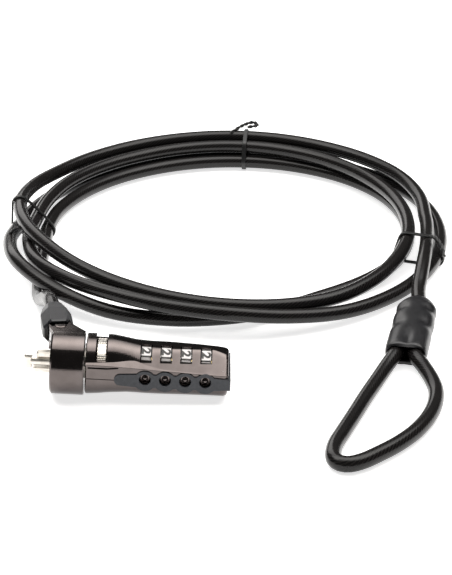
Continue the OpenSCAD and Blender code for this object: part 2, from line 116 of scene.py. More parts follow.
# Dials: a drum with ten flats, its pocket, and a window on the front half
# of the crown only. Each dial's read flat faces its own angle above the front.
DIAL_N = 4
DIAL_R = 6.8
DIAL_W = 3.1
DIAL_X = 23.4
DIAL_PITCH = 6
DIAL_XS = [DIAL_X + i * DIAL_PITCH for i in range(DIAL_N)]
READ_ANGLES = (71, 70, 68, 66)
WINDOW_Y = -0.3
POCKET_R = DIAL_R + 0.15
SLOT_W = DIAL_W + 0.5
# Clutch sleeves under the dials: radius, and the bore that they pass.
SLEEVE_R = 3.2
SLEEVE_BORE = 3.4
# Nose tube: its journal in the collar, its lip, its end inside the case.
JOURNAL_R = 4.5
LIP_R = 5
LIP_W = 1.5
NOSE_END = 8.2
# T-bar: length of the nose past the collar, of the T, radii of its shaft
# and spindle, and where the spindle's clip sits.
NOSE_L = 8.2
T_LEN = 5
SHAFT_R = 1.4
SPINDLE_R = 2
CLIP_X = CASE_X1 - 2.6
# Collar's ears round the cable's eye, and the hinge pin's radius.
EAR_R = 3.5
EAR_Z0 = 1.6
EAR_Z1 = COLLAR_R - 0.1
EYE_Z0 = 5.1
EYE_Z1 = 7.9
EYE_Z = (EYE_Z0 + EYE_Z1) / 2
PIN_R = 1.2
# Boot: its turn about the pin, its length, and the gap of its mouth.
BOOT_TURN = 10
BOOT_X = -0.4
BOOT_L = 17
MOUTH_GAP = 0.35
# Cable, its ties, and the coil's centre on the floor.
CABLE_D = 4.8
CABLE_R = CABLE_D / 2
TIE_T = 0.6
TIE_W = 1.6
TIE_GAP = 0.15
COIL_AT = (30, 109.5)
FLOOR_Z = CABLE_R + TIE_T + TIE_GAP

# ---------- Frame of the lock head ----------

# The dressed head sits this far along its axis from the solids' place.
HEAD_SHIFT = -0.35


def joint(name):
    """A joint of the CAD model, by name."""
    return next(j for j in frame["joints"] if j["name"] == name)


swivel = joint("collar_swivel")
lock_x = Vector(swivel["axis"]).normalized()
lock_y = Vector((0, 1, 0))
lock_z = lock_x.cross(lock_y)
lock_at = Vector(swivel["pos_m"]) / MM + HEAD_SHIFT * lock_x
LOCK = Matrix.Translation(lock_at) @ Matrix((lock_x, lock_y, lock_z)).transposed().to_4x4()
PIN = (LOCK.inverted() @ (Vector(joint("collar_hinge")["pos_m"]) / MM))[:2]
BOOT = LOCK @ Matrix.Translation((*PIN, 0)) @ Matrix.Rotation(math.radians(BOOT_TURN), 4, "Z")

# ---------- Mesh helpers ----------


def lookup(x, table):
    """Smooth curve through a table of (x, value), flat beyond its ends."""
    if x <= table[0][0]:
        return table[0][1]
    if x >= table[-1][0]:
        return table[-1][1]
    i = max(k for k in range(len(table) - 1) if table[k][0] <= x)

    def slope(k):
        if k in (0, len(table) - 1):
            return 0
        left = (table[k][1] - table[k - 1][1]) / (table[k][0] - table[k - 1][0])
        right = (table[k + 1][1] - table[k][1]) / (table[k + 1][0] - table[k][0])
        return 0 if left * right <= 0 else 2 * left * right / (left + right)

    (x0, y0), (x1, y1) = table[i], table[i + 1]
    h = x1 - x0
    t = (x - x0) / h
    return ((1 + 2 * t) * (1 - t) ** 2 * y0 + t * (1 - t) ** 2 * h * slope(i)
            + t * t * (3 - 2 * t) * y1 + t * t * (t - 1) * h * slope(i + 1))


def spline(points, s):
    """Catmull-Rom curve through points, s counted in points."""
    last = len(points) - 1
    i = min(int(s), last - 1)
    t = s - i
    b, c = points[i], points[i + 1]
    a = points[i - 1] if i > 0 else 2 * b - c
    d = points[i + 2] if i + 2 <= last else 2 * c - b
    return b + t / 2 * (c - a + t * (2 * a - 5 * b + 4 * c - d + t * (3 * (b - c) + d - a)))


def new_object(name, verts, faces, matrix=None):
    """A mesh object from millimetre points, placed by matrix."""
    mesh = bpy.data.meshes.new(name)
    place = matrix or Matrix()
    mesh.from_pydata([place @ Vector(v) * MM for v in verts], [], faces)
    mesh.validate()
    obj = bpy.data.objects.new(name, mesh)
    bpy.context.scene.collection.objects.link(obj)
    return obj


def outward(obj):
    """Turns every face outward."""
    bm = bmesh.new()
    bm.from_mesh(obj.data)
    bmesh.ops.recalc_face_normals(bm, faces=bm.faces)
    bm.to_mesh(obj.data)
    bm.free()
    return obj


def loft(name, rows, matrix=None):
    """A skin through rows of equally many points, capped at both ends."""
    n = len(rows[0])
    verts = [p for row in rows for p in row]
    faces = []
    for i in range(len(rows) - 1):
        for k in range(n):
            a, b = i * n + k, i * n + (k + 1) % n
            faces.append((a, b, b + n, a + n))
    faces.append(tuple(range(n)))
    faces.append(tuple(range((len(rows) - 1) * n, len(rows) * n)))
    return outward(new_object(name, verts, faces, matrix))


def circle(r, n, start=0):
    """Points of a circle in a plane."""
    return [(r * math.cos(start + math.tau * k / n), r * math.sin(start + math.tau * k / n))
            for k in range(n)]


def rod(name, r, x0, x1, matrix=None, n=96, y=0):
    """A cylinder along X."""
    rows = [[(x, y + a, b) for a, b in circle(r, n)] for x in (x0, x1)]
    return loft(name, rows, matrix)


def post(name, r, at, z0, z1, matrix=None, n=96):
    """A cylinder along Z."""
    rows = [[(at[0] + a, at[1] + b, z) for a, b in circle(r, n)] for z in (z0, z1)]
    return loft(name, rows, matrix)


def block(name, low, high, matrix=None):
    """A block from one corner to the other, used as a cutter."""
    rows = [[(x, low[1], low[2]), (x, high[1], low[2]), (x, high[1], high[2]), (x, low[1], high[2])]
            for x in (low[0], high[0])]
    return loft(name, rows, matrix)


def lathe(name, profile, matrix, n=144):
    """A turned body round X from a closed profile of (r, x)."""
    verts, faces, m = [], [], len(profile)
    for k in range(n):
        a = math.tau * k / n
        verts += [(x, r * math.cos(a), r * math.sin(a)) for r, x in profile]
    for k in range(n):
        for j in range(m):
            a, b = k * m + j, k * m + (j + 1) % m
            c = ((k + 1) % n) * m
            faces.append((a, b, c + (j + 1) % m, c + j))
    return outward(new_object(name, verts, faces, matrix))


def plate(name, outline, y0, y1, matrix=None):
    """An outline drawn in x and z, between y0 and y1."""
    return loft(name, [[(x, y, z) for x, z in outline] for y in (y0, y1)], matrix)


def hull_plan(circles, n=24):
    """Convex outline round circles of (x, y, r)."""
    points = [(x + a, y + b) for x, y, r in circles for a, b in circle(r, n)]
    points.sort()

    def chain(seq):
        """One side of the outline: the points that never turn right."""
        out = []
        for p in seq:
            while len(out) > 1 and ((out[-1][0] - out[-2][0]) * (p[1] - out[-2][1])
                                    - (out[-1][1] - out[-2][1]) * (p[0] - out[-2][0])) <= 0:
                out.pop()
            out.append(p)
        return out[:-1]

    return chain(points) + chain(points[::-1])


def join(parts, name):
    """Joins mesh objects, materials and all, into the first."""
    bpy.ops.object.select_all(action="DESELECT")
    for part in parts:
        part.select_set(True)
    bpy.context.view_layer.objects.active = parts[0]
    bpy.ops.object.join()
    parts[0].name = name
    return parts[0]


def apply_all(obj):
    """Applies an object's modifiers to its mesh."""
    mesh = bpy.data.meshes.new_from_object(
        obj.evaluated_get(bpy.context.evaluated_depsgraph_get()))
    obj.modifiers.clear()
    obj.data = mesh


def combine(obj, others, operation="DIFFERENCE"):
    """Cuts others out of obj, or joins them to it, and removes them."""
    for other in others:
        tool = obj.modifiers.new(other.name, "BOOLEAN")
        tool.operation = operation
        tool.solver = "EXACT"
        tool.object = other
    apply_all(obj)
    for other in others:
        bpy.data.objects.remove(other)


def round_edges(obj, width, angle=35, segments=2):
    """Rounds every edge sharper than angle."""
    bevel = obj.modifiers.new("round", "BEVEL")
    bevel.width = width * MM
    bevel.segments = segments
    bevel.limit_method = "ANGLE"
    bevel.angle_limit = math.radians(angle)
    bevel.harden_normals = True
    bevel.use_clamp_overlap = True


def smooth(obj, angle=35):
    """Shades smooth, with edges sharper than angle kept."""
    obj.data.shade_smooth()
    obj.data.set_sharp_from_angle(angle=math.radians(angle))
    return obj


def dress(obj, material, body, replaces=()):
    """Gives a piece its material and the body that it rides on."""
    obj.data.materials.clear()
    obj.data.materials.append(material)
    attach(obj, body)
    if replaces:
        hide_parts(*replaces)
    return obj


# ---------- Materials ----------


def shader(name, color, rough, metal=0.0, coat=0.0):
    """A material with its own node tree: returns it, its tree and its shader."""
    mat = bpy.data.materials.new(name)
    mat.use_nodes = True
    tree = mat.node_tree
    bsdf = tree.nodes["Principled BSDF"]
    bsdf.inputs["Base Color"].default_value = (*color, 1)
    bsdf.inputs["Roughness"].default_value = rough
    bsdf.inputs["Metallic"].default_value = metal
    bsdf.inputs["Coat Weight"].default_value = coat
    bsdf.inputs["Coat Roughness"].default_value = 0.08
    return mat, tree, bsdf


def mottle(tree, bsdf, dark, light, scale, rough_low, rough_high, bump, bump_scale):
    """Colour and roughness that drift over the surface, and a fine bump."""
    coord = tree.nodes.new("ShaderNodeTexCoord")
    noise_node = tree.nodes.new("ShaderNodeTexNoise")
    noise_node.inputs["Scale"].default_value = scale
    noise_node.inputs["Detail"].default_value = 4
    tree.links.new(coord.outputs["Object"], noise_node.inputs["Vector"])
    ramp = tree.nodes.new("ShaderNodeValToRGB")
    ramp.color_ramp.elements[0].position = 0.3
    ramp.color_ramp.elements[1].position = 0.7
    ramp.color_ramp.elements[0].color = (*dark, 1)
    ramp.color_ramp.elements[1].color = (*light, 1)
    tree.links.new(noise_node.outputs["Fac"], ramp.inputs["Fac"])
    tree.links.new(ramp.outputs["Color"], bsdf.inputs["Base Color"])
    spread = tree.nodes.new("ShaderNodeMapRange")
    spread.inputs["To Min"].default_value = rough_low
    spread.inputs["To Max"].default_value = rough_high
    tree.links.new(noise_node.outputs["Fac"], spread.inputs["Value"])
    tree.links.new(spread.outputs["Result"], bsdf.inputs["Roughness"])
    grain = tree.nodes.new("ShaderNodeTexNoise")
    grain.inputs["Scale"].default_value = bump_scale
    grain.inputs["Detail"].default_value = 3
    tree.links.new(coord.outputs["Object"], grain.inputs["Vector"])
    bump_node = tree.nodes.new("ShaderNodeBump")
    bump_node.inputs["Strength"].default_value = bump
    bump_node.inputs["Distance"].default_value = 0.0001
    tree.links.new(grain.outputs["Fac"], bump_node.inputs["Height"])
    tree.links.new(bump_node.outputs["Normal"], bsdf.inputs["Normal"])


def black_nickel():
    """Smooth dark plating."""
    mat, tree, bsdf = shader("black_nickel", (0.115, 0.099, 0.095), 0.13, metal=1)
    mottle(tree, bsdf, (0.105, 0.09, 0.086), (0.125, 0.108, 0.104), 300, 0.1, 0.16, 0.04, 5000)
    return mat


def bright_nickel(name, dark, light, rough=0.27):
    """Bare or plated metal with a fine grain."""
    mat, tree, bsdf = shader(name, light, rough, metal=1)
    mottle(tree, bsdf, dark, light, 600, rough - 0.07, rough + 0.07, 0.12, 6000)
    return mat


def moulded(name, dark, light, rough, bump=0.25):
    """Plastic or rubber, a little uneven in colour and gloss."""
    mat, tree, bsdf = shader(name, light, rough)
    mottle(tree, bsdf, dark, light, 900, rough - 0.06, rough + 0.06, bump, 4500)
    return mat


# Wires of the strand, and its turns per millimetre.
STRANDS = 16
STRAND_TURNS = 1 / 24


def vinyl():
    """Smoke vinyl over a twisted steel strand: the strand's lay shows through
    as slanted bands, dark in the grooves between its wires."""
    mat, tree, bsdf = shader("cable_vinyl", (0.03, 0.028, 0.027), 0.24, coat=0.15)
    bsdf.inputs["Specular IOR Level"].default_value = 0.22
    uv = tree.nodes.new("ShaderNodeUVMap")
    uv.uv_map = "lay"
    split = tree.nodes.new("ShaderNodeSeparateXYZ")
    tree.links.new(uv.outputs["UV"], split.inputs["Vector"])
    # U runs once round the cable and V along it in millimetres.
    slant = tree.nodes.new("ShaderNodeMath")
    slant.operation = "MULTIPLY_ADD"
    slant.inputs[1].default_value = STRAND_TURNS
    tree.links.new(split.outputs["Y"], slant.inputs[0])
    tree.links.new(split.outputs["X"], slant.inputs[2])
    wires = tree.nodes.new("ShaderNodeMath")
    wires.operation = "MULTIPLY"
    wires.inputs[1].default_value = STRANDS
    tree.links.new(slant.outputs["Value"], wires.inputs[0])
    fract = tree.nodes.new("ShaderNodeMath")
    fract.operation = "PINGPONG"
    fract.inputs[1].default_value = 0.5
    tree.links.new(wires.outputs["Value"], fract.inputs[0])
    ramp = tree.nodes.new("ShaderNodeValToRGB")
    first, last = ramp.color_ramp.elements
    first.position = 0.12
    first.color = (0.002, 0.002, 0.002, 1)
    last.position = 0.4
    last.color = (0.024, 0.021, 0.02, 1)
    tree.links.new(fract.outputs["Value"], ramp.inputs["Fac"])
    coord = tree.nodes.new("ShaderNodeTexCoord")
    cloud = tree.nodes.new("ShaderNodeTexNoise")
    cloud.inputs["Scale"].default_value = 260
    tree.links.new(coord.outputs["Object"], cloud.inputs["Vector"])
    mix = tree.nodes.new("ShaderNodeMix")
    mix.data_type = "RGBA"
    mix.inputs["A"].default_value = (0.008, 0.0075, 0.0075, 1)
    tree.links.new(cloud.outputs["Fac"], mix.inputs["Factor"])
    tree.links.new(ramp.outputs["Color"], mix.inputs["B"])
    tree.links.new(mix.outputs["Result"], bsdf.inputs["Base Color"])
    bump = tree.nodes.new("ShaderNodeBump")
    bump.inputs["Strength"].default_value = 0.2
    bump.inputs["Distance"].default_value = 0.0001
    tree.links.new(fract.outputs["Value"], bump.inputs["Height"])
    tree.links.new(bump.outputs["Normal"], bsdf.inputs["Normal"])
    return mat


NICKEL = black_nickel()
ZINC = bright_nickel("bright_zinc", (0.62, 0.58, 0.52), (0.8, 0.76, 0.7), 0.42)
IVORY = bright_nickel("wheel_nickel", (0.8, 0.76, 0.7), (0.95, 0.92, 0.86))
STEEL = bright_nickel("steel", (0.45, 0.45, 0.45), (0.62, 0.62, 0.62))
BRASS = bright_nickel("brass", (0.55, 0.42, 0.22), (0.72, 0.58, 0.32))
RUBBER = moulded("grip_rubber", (0.035, 0.038, 0.045), (0.055, 0.06, 0.07), 0.55)
BOOT_MAT = moulded("boot_plastic", (0.008, 0.008, 0.01), (0.014, 0.014, 0.017), 0.36)
SLEEVE_MAT = moulded("sleeve_plastic", (0.008, 0.008, 0.009), (0.014, 0.014, 0.016), 0.34)
TIE_MAT = moulded("tie_plastic", (0.006, 0.006, 0.006), (0.012, 0.012, 0.012), 0.38)
DIAL_DARK = moulded("dial_body", (0.03, 0.027, 0.026), (0.06, 0.054, 0.052), 0.4)
DIAL_WHITE = moulded("dial_white", (0.74, 0.71, 0.7), (0.86, 0.83, 0.82), 0.32, bump=0.05)
INK = moulded("dial_ink", (0.012, 0.011, 0.011), (0.03, 0.028, 0.028), 0.5)
VINYL = vinyl()

# ---------- Cable ----------

# The coil winds TURNS times, from the left: LANE_N points to each turn, with
# their distance from its centre and their height over its lowest lane.
TURNS = 3.5
LANE_N = 12
LANE_R = [
    63.5, 62.5, 62.5, 63.5, 64.5, 65, 64, 63, 62, 68.5, 77, 80.5,
    73, 70.5, 70, 70, 71.5, 74.5, 75, 75.5, 76.5, 76.5, 75, 74,
    67, 66.5, 66.5, 66.5, 64, 62, 63, 66.5, 71.2, 70.8, 69.5, 69.5,
    72.5, 72, 72, 71.5, 72, 73, 70]
LANE_Z = [
    0, 0, 0, 0, 0, 0, 0, 0, 0, 0, 1.5, 6.5,
    2, 0, 0, 0, 0, 0, 0, 0, 1, 5.5, 7, 5.8,
    4.5, 4.5, 4.5, 5, 5.5, 5.5, 5.5, 5, 4, 5.5, 8, 10,
    10.2, 7, 6.5, 7, 6.5, 5.5, 4.5]
# From the boot to the coil.
LEAD = [(-25, 25, 16.6), (-26.2, 31, 15), (-27.6, 37, 12.3), (-29, 43, 9), (-30.3, 49, 5.8),
        (-31.4, 54.5, 3.6), (-32.3, 60.5, 2.6), (-33, 69, 2.5), (-33.5, 80, 2.8),
        (-33.5, 92, 3.1)]
# Crimp sleeve: its ends, the ferrule's ends in it, the eye's legs and the
# mouth that they leave it through.
SLEEVE_TOP = Vector((92.3, 47, 5.2))
SLEEVE_LOW = Vector((85.3, 13, 4.5))
SLEEVE_L = (SLEEVE_LOW - SLEEVE_TOP).length
SLEEVE_DIR = (SLEEVE_LOW - SLEEVE_TOP).normalized()
SLEEVE_SIDE = Vector((-SLEEVE_DIR.y, SLEEVE_DIR.x, 0)).normalized()
FERRULE = (6, 22)
LEG_Y = CABLE_R + 0.2
MOUTH_X = SLEEVE_L - 9
MOUTH_Y = 3.2
# From the coil to the sleeve, and round the eye.
TAIL = [(99.5, 97, 7.7), (98.5, 88, 8.2), (97.2, 79, 8.7), (95.8, 71, 8.5),
        (94.3, 63, 7.2), (93, 56, 5.8)]
EYE = [(90.3, 7, 3.6), (92.2, 0, 3), (93, -7, 2.5),
       (91.8, -15, 2.4), (89, -23, 2.4), (84.6, -31, 2.4), (79, -38, 2.4),
       (73, -43.7, 2.4), (68.3, -47.5, 2.4), (64.2, -49.2, 2.4), (61.2, -48, 2.4),
       (60.2, -44.5, 2.4), (61, -38.5, 2.4), (63.5, -31.5, 2.4), (67.5, -21, 2.4),
       (71.5, -10.5, 2.6), (75.5, -1, 3), (79, 7, 3.6)]


def in_sleeve(x, y=0.0):
    """A point x along the sleeve and y across it."""
    return SLEEVE_TOP + x * SLEEVE_DIR + y * SLEEVE_SIDE


def lane(s):
    """The coil's route, s counted in its points."""
    a = math.radians(s * 360 / LANE_N)
    r = spline(LANE_R, s)
    return Vector((COIL_AT[0] - r * math.cos(a), COIL_AT[1] + r * math.sin(a),
                   FLOOR_Z + spline(LANE_Z, s)))


def resample(points, step):
    """Points of a smooth curve through points, about step apart."""
    points = [Vector(p) for p in points]
    fine = [spline(points, k / 12) for k in range(12 * (len(points) - 1) + 1)]
    out, walked = [fine[0]], 0.0
    for a, b in zip(fine, fine[1:]):
        walked += (b - a).length
        if walked >= step:
            out.append(b)
            walked = 0.0
    out[-1] = fine[-1]
    return out


def tube(name, path, r, sides=20):
    """A round tube along path, with its lay map: U round it, V along it."""
    frames = []
    side = Vector((0, 0, 1)).cross(path[1] - path[0]).normalized()
    for i, p in enumerate(path):
        t = (path[min(i + 1, len(path) - 1)] - path[max(i - 1, 0)]).normalized()
        side = (side - side.dot(t) * t).normalized()
        frames.append((p, side, t.cross(side)))
    rows = [[p + r * (a * s + b * u) for a, b in circle(1, sides)] for p, s, u in frames]
    obj = loft(name, rows)
    mesh = obj.data
    uv = mesh.uv_layers.new(name="lay").data
    along = [0.0]
    for a, b in zip(path, path[1:]):
        along.append(along[-1] + (b - a).length)
    for face in mesh.polygons:
        around = [mesh.loops[i].vertex_index % sides for i in face.loop_indices]
        wraps = max(around) - min(around) > sides / 2
        for i in face.loop_indices:
            v = mesh.loops[i].vertex_index
            k = v % sides + (sides if wraps and v % sides < sides / 2 else 0)
            uv[i].uv = (k / sides, along[v // sides])
    return smooth(obj, 60)


lead_start = BOOT @ Vector((BOOT_X, BOOT_L - 1, EYE_Z))
turns = [lane(k / 2) for k in range(int(TURNS * LANE_N * 2) + 1)]
back = Vector((0, -CABLE_D, 0))
route = ([lead_start] + LEAD + [turns[0] + back] + turns + [turns[-1] + back] + TAIL
         + [SLEEVE_TOP, in_sleeve(FERRULE[0])])
cable_path = resample(route, 2.2)
eye_route = [in_sleeve(FERRULE[1], LEG_Y), in_sleeve(MOUTH_X + 0.5, LEG_Y),
             in_sleeve(SLEEVE_L, MOUTH_Y)] + EYE + [
    in_sleeve(SLEEVE_L, -MOUTH_Y), in_sleeve(MOUTH_X + 0.5, -LEG_Y), in_sleeve(FERRULE[1], -LEG_Y)]
eye_path = resample(eye_route, 1.4)
cable = dress(tube("cable_run", cable_path, CABLE_R), VINYL, "cable",
              ["cable_lead", "cable_coil", "cable_tail"])
eye = dress(tube("eye_run", eye_path, CABLE_R), VINYL, "cable", ["loop_eye"])

# ---------- Case ----------

# Power of the belly's superellipse: under 1 is fuller than an ellipse.
BELLY_POWER = 0.87


def crown_quarter(x):
    """Case section from its side to the middle of its crown."""
    edge, t, b = lookup(x, EDGE_H), lookup(x, FACET_W), lookup(x, CROWN_H)
    low, top = Vector((CASE_W - t, edge + 0.62 * t)), Vector((0, b))
    corner, part = Vector((lookup(x, RIDGE), b)), lookup(x, ROUND)
    start, end = corner.lerp(low, part), corner.lerp(top, part)
    arc = [start.lerp(corner, u).lerp(corner.lerp(end, u), u) for u in (k / 18 for k in range(19))]
    points = [low] + arc + [top]
    return ([(SIDE_Y, PARTING_Z), (SIDE_Y, edge - 0.3), (CASE_W, edge)]
            + [(q.x, q.y) for q in points])


def belly_quarter(x):
    """Case section from its side to the middle of its belly."""
    b = lookup(x, BELLY_H)
    start = math.asin((-PARTING_Z / b) ** (1 / BELLY_POWER))
    return [(SIDE_Y * math.cos(a) ** BELLY_POWER, -b * math.sin(a) ** BELLY_POWER)
            for a in (start + (math.pi / 2 - start) * k / 20 for k in range(21))]


def half_section(x, inset, quarter):
    """One shell's section at x, drawn in by inset."""
    f = 1 - inset / CASE_W
    right = [(f * y, PARTING_Z + f * (z - PARTING_Z)) for y, z in quarter]
    right[-1] = (0, right[-1][1])
    return [(x, -y, z) for y, z in right] + [(x, y, z) for y, z in right[-2::-1]]


# Rows of (x, inset) that round the case's ends.
CASE_ENDS = [(CASE_X0, 0.4), (CASE_X0 + 0.12, 0.12), (CASE_X0 + 0.4, 0)]
CASE_TIP = [(CASE_X1 - 1.2, 0), (CASE_X1 - 0.9, 0.06), (CASE_X1 - 0.6, 0.2), (CASE_X1 - 0.35, 0.4),
            (CASE_X1 - 0.15, 0.7), (CASE_X1, 1.1)]


def half_case(name, quarter):
    """A shell of the case, solid."""
    steps = 64
    x0, x1 = CASE_X0 + 0.8, CASE_X1 - 1.6
    middle = [(x0 + (x1 - x0) * k / steps, 0) for k in range(steps + 1)]
    rows = [half_section(x, inset, quarter(x)) for x, inset in CASE_ENDS + middle + CASE_TIP]
    return loft(name, rows, LOCK)


def grip_outline(x1, grow=0.0):
    """Rubber strip in the side view: a band with one boss at each dial."""
    r, h = GRIP_H / 2 + grow, BOSS_R + grow
    out = []
    for k in range(17):
        a = math.radians(90 + 180 * k / 16)
        out.append((GRIP_X0 + r * math.cos(a), GRIP_Z + r * math.sin(a)))
    half = math.asin(r / h)
    for x in DIAL_XS:
        for k in range(17):
            a = math.pi + half + (math.pi - 2 * half) * k / 16
            out.append((x + h * math.cos(a), GRIP_Z + h * math.sin(a)))
    out.append((x1, GRIP_Z - r))
    out.append((x1, GRIP_Z + r))
    for x in DIAL_XS[::-1]:
        for k in range(17):
            a = half + (math.pi - 2 * half) * k / 16
            out.append((x + h * math.cos(a), GRIP_Z + h * math.sin(a)))
    return trim_bosses(out, r)


def trim_bosses(out, r):
    """Keeps neighbouring bosses from crossing: each stays in its own pitch."""
    kept = []
    for x, z in out:
        centre = min(DIAL_XS, key=lambda c: abs(c - x))
        d = DIAL_PITCH / 2
        on_strip = abs(z - GRIP_Z) <= r + 0.01
        if on_strip and (x < DIAL_XS[0] - d or x > DIAL_XS[-1] + d):
            kept.append((x, z))
        elif not on_strip and abs(x - centre) <= d:
            kept.append((x, z))
    return kept


def case_cutters():
    """Cutters for all that the shells leave free."""
    tools = [rod("c", JOURNAL_R, CASE_X0 - 1, NOSE_END, LOCK),
             rod("c", WHEEL_R + GAP, WHEEL_X - WINDOW_W / 2, WHEEL_X + WINDOW_W / 2, LOCK),
             rod("c", SPINDLE_R + FIT, 7, CASE_X1 - 2, LOCK),
             rod("c", 3.8, CLIP_X - 0.2, CLIP_X + 1.4, LOCK)]
    for x in DIAL_XS:
        tools.append(rod("c", POCKET_R, x - SLOT_W / 2, x + SLOT_W / 2, LOCK))
        tools.append(rod("c", SLEEVE_BORE, x + SLOT_W / 2 - 0.01,
                         x + DIAL_PITCH - SLOT_W / 2 + 0.01, LOCK))
        tools.append(plate("c", [(x + a, b) for a, b in circle(PEEP_R, 45, 0.04)], -14, 14, LOCK))
    for y in (-SIDE_Y - 1, SIDE_Y - 0.5):
        tools.append(plate("c", grip_outline(CASE_X1 + 1, 0.06), y, y + 1.5, LOCK))
    tools.append(block("c", (CASE_X1 - 0.4, -CASE_W, GRIP_Z - GRIP_H / 2),
                       (CASE_X1 + 1, CASE_W, GRIP_Z + GRIP_H / 2), LOCK))
    return tools


def parting_groove(y):
    """Cutter for the line between the shells, on side y."""
    return block("c", (-1, y * SIDE_Y - 0.25, PARTING_Z - 0.15),
                 (CASE_X1 - 1.5, y * SIDE_Y + 0.25, PARTING_Z + 0.15), LOCK)


upper = half_case("upper", crown_quarter)
tools = case_cutters()
# The thumb-wheel's window, lower on the front of the crown than on its back.
window = [(-12, 4.6), (1, 4.6), (1, 5.4), (12, 5.4), (12, 12), (-12, 12)]
tools.append(loft("c", [[(x, y, z) for y, z in window]
                        for x in (WHEEL_X - WINDOW_W / 2, WHEEL_X + WINDOW_W / 2)], LOCK))
# The dials' windows share no plane with the pockets or with each other,
# which would leave slivers.
half = SLOT_W / 2 - 0.03
for i, x in enumerate(DIAL_XS):
    tools.append(block("c", (x - half, -12, 4.7), (x + half, WINDOW_Y - 0.01 * i, 12), LOCK))
for y in (-1, 1):
    tools.append(plate("c", [(6.2, 2.6), (6.2, 3.6), (15.4, 3.4), (15.4, 3), (12, 2.6)],
                       y * SIDE_Y - 0.5, y * SIDE_Y + 0.5, LOCK))
    tools.append(parting_groove(y))
combine(upper, tools)
round_edges(upper, 0.12, 40)
dress(upper, NICKEL, "case", ["upper_shell"])

lower = half_case("lower", belly_quarter)
combine(lower, case_cutters() + [parting_groove(y) for y in (-1, 1)])
round_edges(lower, 0.12, 40)
dress(lower, NICKEL, "case", ["lower_shell"])

# ---------- Rubber grip ----------

grip = plate("grip", grip_outline(CASE_X1 - 0.4), -SIDE_Y - GRIP_T, -SIDE_Y + 0.5, LOCK)
far_side = plate("g", grip_outline(CASE_X1 - 0.4), SIDE_Y - 0.5, SIDE_Y + GRIP_T, LOCK)
half_h = GRIP_H / 2
end_wrap = block("g", (CASE_X1 - 0.41, -SIDE_Y - GRIP_T, GRIP_Z - half_h),
                 (CASE_X1 + 0.7, SIDE_Y + GRIP_T, GRIP_Z + half_h), LOCK)
combine(grip, [far_side, end_wrap], "UNION")
combine(grip, [plate("c", [(x + a, b) for a, b in circle(PEEP_R, 48)], -14, 14, LOCK)
               for x in DIAL_XS])
round_edges(grip, 0.22, 30, 3)
dress(grip, RUBBER, "case", ["rubber_grip"])

# ---------- Studs in the grip's bosses ----------

# Profile of (radius, distance from the middle of the case): a dome in a ring.
STUD = [(0, 8.3), (0.35, 8.22), (0.65, 8.02), (0.85, 7.75), (0.95, 7.4), (1.3, 7.36), (1.36, 7.85),
        (1.5, 7.98), (1.66, 7.85), (1.72, 7.2), (0, 7.2)]
STUD_N = 32
for side, name in ((-1, "front_studs"), (1, "rear_studs")):
    verts, faces = [], []
    for x in DIAL_XS:
        first = len(verts)
        for r, y in STUD:
            verts += [(x + a, side * y, b) for a, b in circle(max(r, 0.01), STUD_N)]
        for j in range(len(STUD) - 1):
            for k in range(STUD_N):
                a, b = first + STUD_N * j + k, first + STUD_N * j + (k + 1) % STUD_N
                faces.append((a, b, b + STUD_N, a + STUD_N))
        faces.append(tuple(range(first, first + STUD_N)))
        faces.append(tuple(range(len(verts) - STUD_N, len(verts))))
    studs = smooth(outward(new_object(name, verts, faces, LOCK)), 50)
    dress(studs, NICKEL, "case")

# ---------- Collar ----------


collar = lathe("collar", [
    (2, -COLLAR_HALF), (COLLAR_R - 0.5, -COLLAR_HALF), (COLLAR_R, -COLLAR_HALF + 0.5),
    (COLLAR_R, COLLAR_HALF - 0.3), (COLLAR_R - 0.3, COLLAR_HALF), (2, COLLAR_HALF)], LOCK)
combine(collar, [block("c", (-8, 1, EAR_Z0), (8, 12, 12), LOCK)])
plan = hull_plan([(*PIN, EAR_R), (0.3 - COLLAR_HALF, 1, 0.1), (COLLAR_HALF - 0.3, 1, 0.1),
                  (COLLAR_HALF - 0.3, 2.1, 0.1), (0.3 - COLLAR_HALF, 2.1, 0.1)], 48)
ears = loft("ears", [[(x, y, z) for x, y in plan] for z in (EAR_Z0 - 0.01, EAR_Z1)], LOCK)
combine(collar, [ears], "UNION")
combine(collar, [
    rod("c", JOURNAL_R + FIT, -8, 8, LOCK),
    rod("c", LIP_R + FIT, -8, -COLLAR_HALF + LIP_W + 0.1, LOCK),
    post("c", EAR_R + 0.2, PIN, EYE_Z0 - GAP, EYE_Z1 + GAP, LOCK),
    post("c", PIN_R, PIN, 4, 12, LOCK, 48)])
round_edges(collar, 0.13, 30)
dress(collar, NICKEL, "collar", ["swivel_collar"])

rows = [[(PIN[0] + r * a, PIN[1] + r * b, z) for a, b in circle(1, 48)]
        for r, z in ((PIN_R, 4), (PIN_R, EAR_Z1), (1.8, EAR_Z1), (1.8, EAR_Z1 + 0.12),
                     (1.5, EAR_Z1 + 0.3))]
pin = loft("pin", rows, LOCK)
round_edges(pin, 0.06, 30)
dress(pin, NICKEL, "collar", ["hinge_pin"])

# ---------- Thumb-wheel ----------

# Flat ridges with grooves between them, as (share of a ridge's pitch, radius).
rim = []
for k in range(WHEEL_RIDGES):
    for step, r in ((0, WHEEL_R), (0.28, WHEEL_R), (0.42, WHEEL_R - 0.34), (0.58, WHEEL_R - 0.34),
                    (0.72, WHEEL_R)):
        a = math.radians(360 / WHEEL_RIDGES * (k - 0.5 + step))
        rim.append((r * math.sin(a), r * math.cos(a)))
rows = [[(WHEEL_X + x, f * y, f * z) for y, z in rim]
        for x, f in ((-1.5, 0.97), (-1.25, 1), (1.25, 1), (1.5, 0.97))]
wheel = loft("wheel", rows, LOCK)
round_edges(wheel, 0.05, 30)
dress(wheel, IVORY, "spindle", ["thumb_wheel"])

# ---------- Nose ----------

